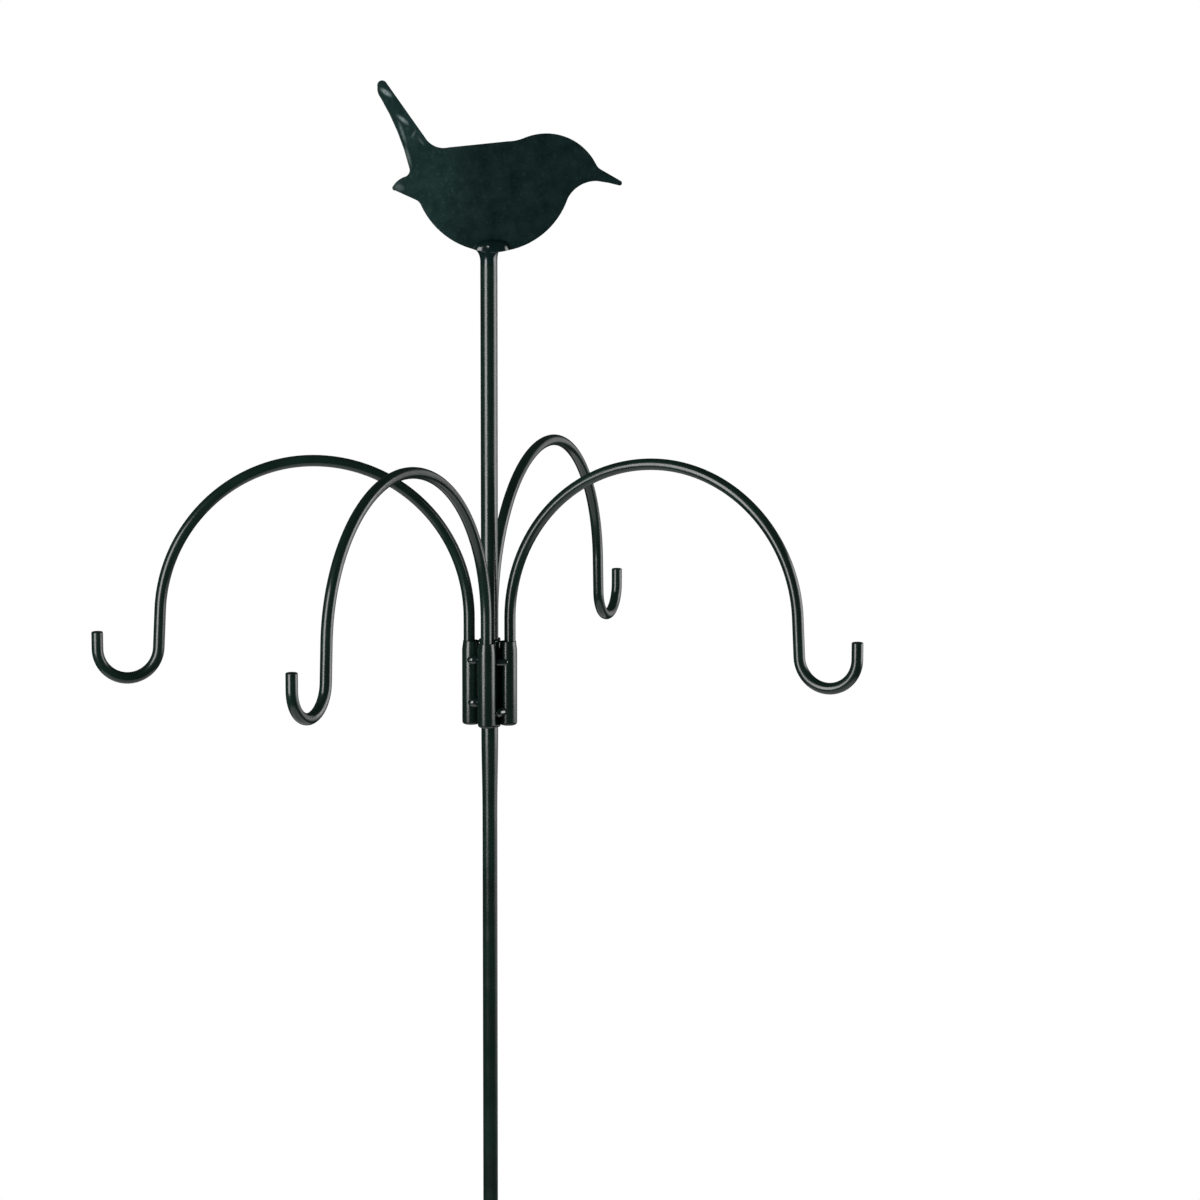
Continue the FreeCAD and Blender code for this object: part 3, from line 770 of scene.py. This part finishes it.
def armPath():
    a = arm
    lean = math.radians(a["lean"])
    cosine, sine = math.cos(lean), math.sin(lean)
    wire, hook = a["wire"], a["hook"]
    innerCentre = (a["innerArch"], a["spring"])
    outerCentre = (a["innerArch"], a["spring"] + a["innerArch"] - a["outerArch"])
    legTop = (outerCentre[0] + a["outerArch"] * cosine, outerCentre[1] + a["outerArch"] * sine)
    legEnd = (legTop[0] + a["leg"] * sine, legTop[1] - a["leg"] * cosine)
    hookCentre = (legEnd[0] + hook * cosine, legEnd[1] + hook * sine)
    run = arcRun(innerCentre, a["innerArch"], 180.0, 90.0, a["archStep"])
    run += arcRun(outerCentre, a["outerArch"], 90.0, a["lean"], a["archStep"])[1:]
    run += arcRun(hookCentre, hook, 180.0 + a["lean"], 360.0, a["hookStep"])
    path = list(reversed(roundedCut(0.0, a["foot"], wire, a["footRound"], -1)))
    path += [(reach, height, wire) for reach, height in run]
    path += roundedCut(hookCentre[0] + hook, hookCentre[1] + a["tip"], wire, a["tipRound"], 1)
    return path


def makeArms():
    a = arm
    path = armPath()
    for side, (direction, turn) in a["turns"].items():
        seat = math.radians(direction + hub["turn"])
        bearing = math.radians(direction + hub["turn"] + turn)
        x, y = a["circle"] * math.cos(seat), a["circle"] * math.sin(seat)
        chain = [(x + reach * math.cos(bearing), y + reach * math.sin(bearing), height, radius)
                 for reach, height, radius in path]
        name = "armWire" + side.capitalize()
        mesh = wireMesh(name, [chain], a["sides"], glossCoat)
        finishMesh(mesh)
        addPiece(name, mesh, "arm_" + side, "gloss_coat", "arm_" + side)


makeArms()
print("arms made")


# Foot rod and its weld, in mm
foot = {
    "wire": 4.0,
    "height": 16.0,
    "reach": 78.0,
    "bend": 18.0,
    "bendStep": 5.0,       # degrees of arc between path points
    "depth": 130.0,
    "point": 14.0,
    "tip": 1.5,
    "start": 4.6,
    "sides": 32,
    # softened corners of the point, as steps in radius and height
    "pointEdge": ((0.0, 1.0), (-0.06, 0.0), (-0.25, -1.0)),
    "tipEdge": ((0.1, 0.5), (-0.2, 0.15), (-0.7, 0.0)),
    "weldRing": 4.7,
    "weldBead": 1.6,
    "weldSteps": 40,
}


def makeFoot():
    f = foot
    centre = (f["reach"] - f["bend"], f["height"] - f["bend"])
    run = [(f["start"], f["height"])] + arcRun(centre, f["bend"], 90.0, 0.0, f["bendStep"])
    chain = [(x, 0.0, z, f["wire"]) for x, z in run]
    point = softCorner(f["wire"], f["point"] - f["depth"], f["pointEdge"])
    point += softCorner(f["tip"], -f["depth"], f["tipEdge"])
    chain += [(f["reach"], 0.0, height, radius) for radius, height in point]
    mesh = wireMesh("footRodWire", [chain], f["sides"], glossCoat)
    finishMesh(mesh)
    addPiece("footRodWire", mesh, "ground_section", "gloss_coat", "foot_rod")
    # weld where the rod meets the round of the pole
    ring = []
    for step in range(f["weldSteps"]):
        angle = 2 * math.pi * step / f["weldSteps"]
        y, z = f["weldRing"] * math.cos(angle), f["weldRing"] * math.sin(angle)
        ring.append((math.sqrt(pole["shaftRadius"] ** 2 - y * y), y, f["height"] + z))
    chain = weldChain(ring, f["weldBead"], loop=True)
    mesh = wireMesh("footWeldBeads", [chain], bead["sides"], weldCoat, loop=True)
    finishMesh(mesh)
    addPiece("footWeldBeads", mesh, "ground_section", "gloss_coat", "foot_weld")


makeFoot()
print("foot made")


# Bird plate: corners (x, z) in mm and the bulge of the edge to the next one, hollow if negative
wren = {
    "outline": [
        (29.8, 32.4, 0.68), (132.0, 37.1, -0.285), (152.3, 49.0, -0.04), (168.0, 45.9, 0.7),
        (168.9, 49.1, 0.0), (154.5, 57.3, -0.12), (151.7, 60.4, 0.29), (116.5, 81.8, 0.10),
        (101.0, 78.4, -0.09), (90.3, 76.3, 0.0), (49.0, 72.0, -0.29), (34.1, 77.2, 0.0),
        (6.6, 116.0, 0.9), (0.2, 113.5, 0.2), (2.3, 106.0, -0.075), (22.0, 57.5, -0.35),
        (19.5, 52.0, 0.18), (10.6, 45.3, 0.72), (12.2, 42.2, 0.0), (26.1, 35.9, -0.2),
    ],
    "perch": 77.0,         # from the tail's side to the pole
    "base": 1734.0,
    "thickness": 3.0,
    "edge": 0.45,
    "mitre": 0.5,          # keeps the softened edge narrow at sharp corners
    "arcStep": 4.0,        # degrees of arc between outline points
}


def bulgeCircle(start, end, bulge):
    half = ((end[0] - start[0]) / 2, (end[1] - start[1]) / 2)
    away = (1 - bulge ** 2) / (2 * bulge)
    centre = (start[0] + half[0] - half[1] * away, start[1] + half[1] + half[0] * away)
    return centre, math.hypot(*half) * (1 + bulge ** 2) / (2 * abs(bulge))


def wrenOutline():
    corners = wren["outline"]
    points = []
    for index, (x, z, bulge) in enumerate(corners):
        after = corners[(index + 1) % len(corners)][:2]
        points.append((x, z))
        if not bulge:
            continue
        centre, radius = bulgeCircle((x, z), after, bulge)
        first = math.atan2(z - centre[1], x - centre[0])
        sweep = 4 * math.atan(bulge)
        count = max(2, int(math.degrees(abs(sweep)) / wren["arcStep"]))
        for i in range(1, count):
            angle = first + sweep * i / count
            points.append((centre[0] + radius * math.cos(angle), centre[1] + radius * math.sin(angle)))
    return points


def makeWren():
    w = wren
    outline = wrenOutline()
    count = len(outline)
    inward = []
    for i in range(count):
        before, here, after = outline[i - 1], outline[i], outline[(i + 1) % count]
        a = Vector((here[0] - before[0], here[1] - before[1])).normalized()
        b = Vector((after[0] - here[0], after[1] - here[1])).normalized()
        side = Vector((-a.y - b.y, a.x + b.x)).normalized()
        inward.append(side / max(w["mitre"], side.dot(Vector((-a.y, a.x)))))
    # rows round the edge, from the front face to the back
    half, edge = w["thickness"] / 2, w["edge"]
    rows = []
    for turn in edgeTurns:
        angle = math.radians(turn)
        rows.append((-half + edge * (1 - math.cos(angle)), edge * (1 - math.sin(angle))))
    rows += [(-depth, inset) for depth, inset in reversed(rows)]
    shape = bmesh.new()
    rings = []
    for depth, inset in rows:
        rings.append([
            shape.verts.new(((outline[i][0] + inward[i].x * inset - w["perch"]) * mm, depth * mm,
                             (outline[i][1] + inward[i].y * inset + w["base"]) * mm))
            for i in range(count)])
    for low, high in zip(rings, rings[1:]):
        for i in range(count):
            after = (i + 1) % count
            shape.faces.new((low[i], low[after], high[after], high[i]))
    front = shape.faces.new(rings[0])
    back = shape.faces.new(rings[-1])
    bmesh.ops.recalc_face_normals(shape, faces=shape.faces)
    for face in (front, back):
        for line in face.edges:
            line.smooth = False
    bmesh.ops.triangulate(shape, faces=[front, back])
    mesh = bpy.data.meshes.new("wrenCutPlate")
    shape.to_mesh(mesh)
    shape.free()
    mesh.materials.append(satinCoat)
    for face in mesh.polygons:
        face.use_smooth = True
    addPiece("wrenCutPlate", mesh, "top_section", "satin_coat", "wren_plate")


# Weld under the bird, in mm: a mound on both faces of the plate and a neck round the pole
wrenWeld = {
    "halfWidth": 13.2,
    "narrowing": 1.5,      # taken off the half width towards the top
    "shift": 1.3,          # the mound sits towards the beak
    "topShift": 1.2,       # and its top a little more
    "height": 8.4,
    "square": 3.2,         # higher gives steeper sides
    "boxy": 2.6,           # higher gives a flatter front
    "proud": 7.6,          # how far the mound stands out of the plate's middle
    "proudFall": 1.8,      # higher draws the neck in sooner
    "drip": {"x": 1.0, "rise": 4.2, "proud": 0.8, "width": 2.0},
    "toe": 10.5,
    "bury": 0.03,          # the neck's end dips this far into the pole
    "shelf": 0.15,         # share of the lower half that lies along the belly
    "shelfLift": 0.1,
    "shelfDrop": 0.4,
    "tailFlare": 2.8,      # of the neck where it meets the belly
    "beakFlare": 0.8,
    "flareFall": 4,
    "waves": ((2.0, 0.02), (4.3, 0.006)),
    "detail": 6,
    "sharp": 60.0,
}


def bellyHeight(x):
    # underside of the bird over the plate's base, at a distance from the pole
    start, end = wren["outline"][0], wren["outline"][1]
    centre, radius = bulgeCircle(start[:2], end[:2], start[2])
    return centre[1] - math.sqrt(radius ** 2 - (x + wren["perch"] - centre[0]) ** 2)


def makeWrenWeld():
    w = wrenWeld
    drip, shelf, boxy = w["drip"], w["shelf"], w["boxy"]
    power = 2 / w["square"]
    snug = pole["topRadius"] - w["bury"]
    shape = bmesh.new()
    bmesh.ops.create_icosphere(shape, subdivisions=w["detail"], radius=1.0)
    for vert in shape.verts:
        spot = vert.co.copy()
        lump = 1 + sum(height * noise.noise(spot * rate) for rate, height in w["waves"])
        flat = math.hypot(spot.x, spot.y)
        across, out = (spot.x / flat, spot.y / flat) if flat else (0.0, 0.0)
        corner = (abs(across) ** boxy + abs(out) ** boxy) ** (-1 / boxy) if flat else 0.0
        # upper half: the mound on the plate
        rise = max(0.0, spot.z) ** power
        girth = corner * lump * (1 - rise ** w["square"]) ** (1 / w["square"])
        reach = w["halfWidth"] - w["narrowing"] * rise
        x = w["shift"] + w["topShift"] * rise + reach * girth * across
        y = w["proud"] * girth * out
        height = w["height"] * rise * lump
        spread = ((x - drip["x"]) ** 2 + (height - drip["rise"]) ** 2) / drip["width"] ** 2
        y += math.copysign(drip["proud"] * math.exp(-spread), out)
        # lower half: runs along the belly first, then closes in on the pole
        under = min(1.0, max(0.0, -spot.z) / shelf)
        under *= under * (3 - 2 * under)
        fall = max(0.0, -spot.z - shelf) / (1 - shelf)
        flare = (w["tailFlare"] + w["beakFlare"] - (w["tailFlare"] - w["beakFlare"]) * across) / 2
        neckX = snug + flare * (1 - fall) ** w["flareFall"]
        neckY = snug + (w["proud"] * lump - snug) * (1 - fall) ** w["proudFall"]
        x += (neckX * across - x) * under
        y += (neckY * out - y) * under
        ledge = bellyHeight(x) + w["shelfLift"]
        if spot.z < 0:
            height = (ledge - w["shelfDrop"] * under) * (1 - fall) - w["toe"] * fall
        else:
            height = max(height, ledge)
        vert.co = (x * mm, y * mm, (wren["base"] + height) * mm)
    mesh = bpy.data.meshes.new("wrenWeldLump")
    shape.to_mesh(mesh)
    shape.free()
    finishMesh(mesh, weldCoat, w["sharp"])
    addPiece("wrenWeldLump", mesh, "top_section", "gloss_coat", "wren_weld")


makeWren()
makeWrenWeld()
print("bird made")


# Pale floor under the spike, fading out to the white backdrop
floor = {
    "radius": 1.7,
    "sides": 96,
    "height": -0.2205,
    "fadeFrom": 0.3,
    "fadeTo": 1.6,
    "glow": 0.38,          # share of backdrop white in the middle
    "shade": (0.84, 0.84, 0.83, 1.0),
    "paler": 1.03,
}


def makeFloor():
    shape = bmesh.new()
    bmesh.ops.create_circle(shape, cap_ends=True, segments=floor["sides"], radius=floor["radius"])
    bmesh.ops.translate(shape, verts=shape.verts, vec=(0, 0, floor["height"]))
    mesh = bpy.data.meshes.new("studioFloor")
    shape.to_mesh(mesh)
    shape.free()
    material = bpy.data.materials.new("paleFloor")
    material.use_nodes = True
    tree = material.node_tree
    tree.nodes.clear()
    coords = addNode(tree, "ShaderNodeTexCoord").outputs["Object"]
    flat = addNode(tree, "ShaderNodeVectorMath", operation="MULTIPLY")
    flat.inputs[1].default_value = (1.0, 1.0, 0.0)
    tree.links.new(coords, flat.inputs[0])
    reach = addNode(tree, "ShaderNodeVectorMath", operation="LENGTH")
    tree.links.new(flat.outputs[0], reach.inputs[0])
    fade = remap(tree, reach.outputs["Value"], floor["fadeFrom"], floor["fadeTo"],
                 floor["glow"], 1.0, smooth=True)
    rays = addNode(tree, "ShaderNodeLightPath").outputs
    seen = calculate(tree, "MAXIMUM", rays["Is Camera Ray"], rays["Is Glossy Ray"])
    seen = calculate(tree, "MAXIMUM", seen, rays["Is Transmission Ray"])
    matt = addNode(tree, "ShaderNodeBsdfDiffuse")
    tint = noiseValue(tree, coords, "floorTint")
    paler = tuple(min(1.0, c * floor["paler"]) for c in floor["shade"])
    tree.links.new(mixColour(tree, tint, floor["shade"], paler), matt.inputs["Color"])
    white = addNode(tree, "ShaderNodeEmission")
    blend = addNode(tree, "ShaderNodeMixShader")
    tree.links.new(calculate(tree, "MULTIPLY", fade, seen), blend.inputs[0])
    tree.links.new(matt.outputs[0], blend.inputs[1])
    tree.links.new(white.outputs[0], blend.inputs[2])
    end = addNode(tree, "ShaderNodeOutputMaterial")
    tree.links.new(blend.outputs[0], end.inputs["Surface"])
    mesh.materials.append(material)
    ground = bpy.data.objects.new("studioFloor", mesh)
    scene.collection.objects.link(ground)


# White backdrop behind and to the right; the room in front and to the left is dark
room = {
    "ambient": 0.30,
    "dark": 0.03,
    "backdropTurn": 68.0,   # degrees of the backdrop's middle, from straight behind towards the right
    "backdropRise": 0.22,   # how far up and down it shows, as a share of the sky
    "edgeFrom": 0.72,       # cosines off its middle between which it fades in
    "edgeTo": 0.88,
}


def makeRoom():
    world = bpy.data.worlds.new("studioRoom")
    scene.world = world
    world.use_nodes = True
    tree = world.node_tree
    tree.nodes.clear()
    coords = addNode(tree, "ShaderNodeTexCoord").outputs["Generated"]
    turn = math.radians(room["backdropTurn"])
    facing = addNode(tree, "ShaderNodeVectorMath", operation="DOT_PRODUCT")
    facing.inputs[1].default_value = (math.sin(turn), math.cos(turn), 0.0)
    tree.links.new(coords, facing.inputs[0])
    backdrop = remap(tree, facing.outputs["Value"], room["edgeFrom"], room["edgeTo"],
                     0.0, 1.0, smooth=True)
    split = addNode(tree, "ShaderNodeSeparateXYZ")
    tree.links.new(coords, split.inputs[0])
    rise = calculate(tree, "ABSOLUTE", split.outputs["Z"], 0.0)
    rise = remap(tree, rise, room["backdropRise"], 2 * room["backdropRise"], 1.0, 0.0, smooth=True)
    backdrop = remap(tree, calculate(tree, "MULTIPLY", backdrop, rise), 0.0, 1.0, room["dark"], 1.0)
    rays = addNode(tree, "ShaderNodeLightPath").outputs
    level = addNode(tree, "ShaderNodeMix", data_type="FLOAT")
    level.inputs["A"].default_value = room["ambient"]
    tree.links.new(rays["Is Glossy Ray"], level.inputs["Factor"])
    tree.links.new(backdrop, level.inputs["B"])
    seen = calculate(tree, "MAXIMUM", rays["Is Camera Ray"], rays["Is Transmission Ray"])
    whole = calculate(tree, "MAXIMUM", level.outputs[0], seen)
    light = addNode(tree, "ShaderNodeBackground")
    light.inputs["Color"].default_value = (1.0, 1.0, 1.0, 1.0)
    tree.links.new(whole, light.inputs["Strength"])
    end = addNode(tree, "ShaderNodeOutputWorld")
    tree.links.new(light.outputs[0], end.inputs["Surface"])


# Soft boxes: degrees from the camera's side (right is positive), distance, width,
# low and high edge in metres
softBoxes = {
    "leftStrip": {"turn": -43.0, "away": 2.0, "width": 1.0, "low": 0.95, "high": 2.6, "level": 8.6},
    "backFill": {"turn": 178.0, "away": 2.4, "width": 2.0, "low": 0.6, "high": 2.6, "level": 1.6,
                 "glossy": False},
    "rightPanel": {"turn": 91.0, "away": 2.0, "width": 1.5, "low": 1.0, "high": 2.3, "level": 4.4},
}


def makeLights():
    for name, box in softBoxes.items():
        data = bpy.data.lights.new(name, "AREA")
        data.shape = "RECTANGLE"
        data.size = box["width"]
        data.size_y = box["high"] - box["low"]
        data.energy = box["level"] * math.pi * data.size * data.size_y
        lamp = bpy.data.objects.new(name, data)
        turn = math.radians(box["turn"])
        place = Vector((math.sin(turn), -math.cos(turn), 0.0)) * box["away"]
        lamp.location = place + Vector((0, 0, (box["low"] + box["high"]) / 2))
        lamp.rotation_euler = (-place).to_track_quat("-Z", "Y").to_euler()
        lamp.visible_camera = False
        lamp.visible_glossy = box.get("glossy", True)
        scene.collection.objects.link(lamp)


makeFloor()
makeRoom()
makeLights()
print("floor, backdrop and lights made")
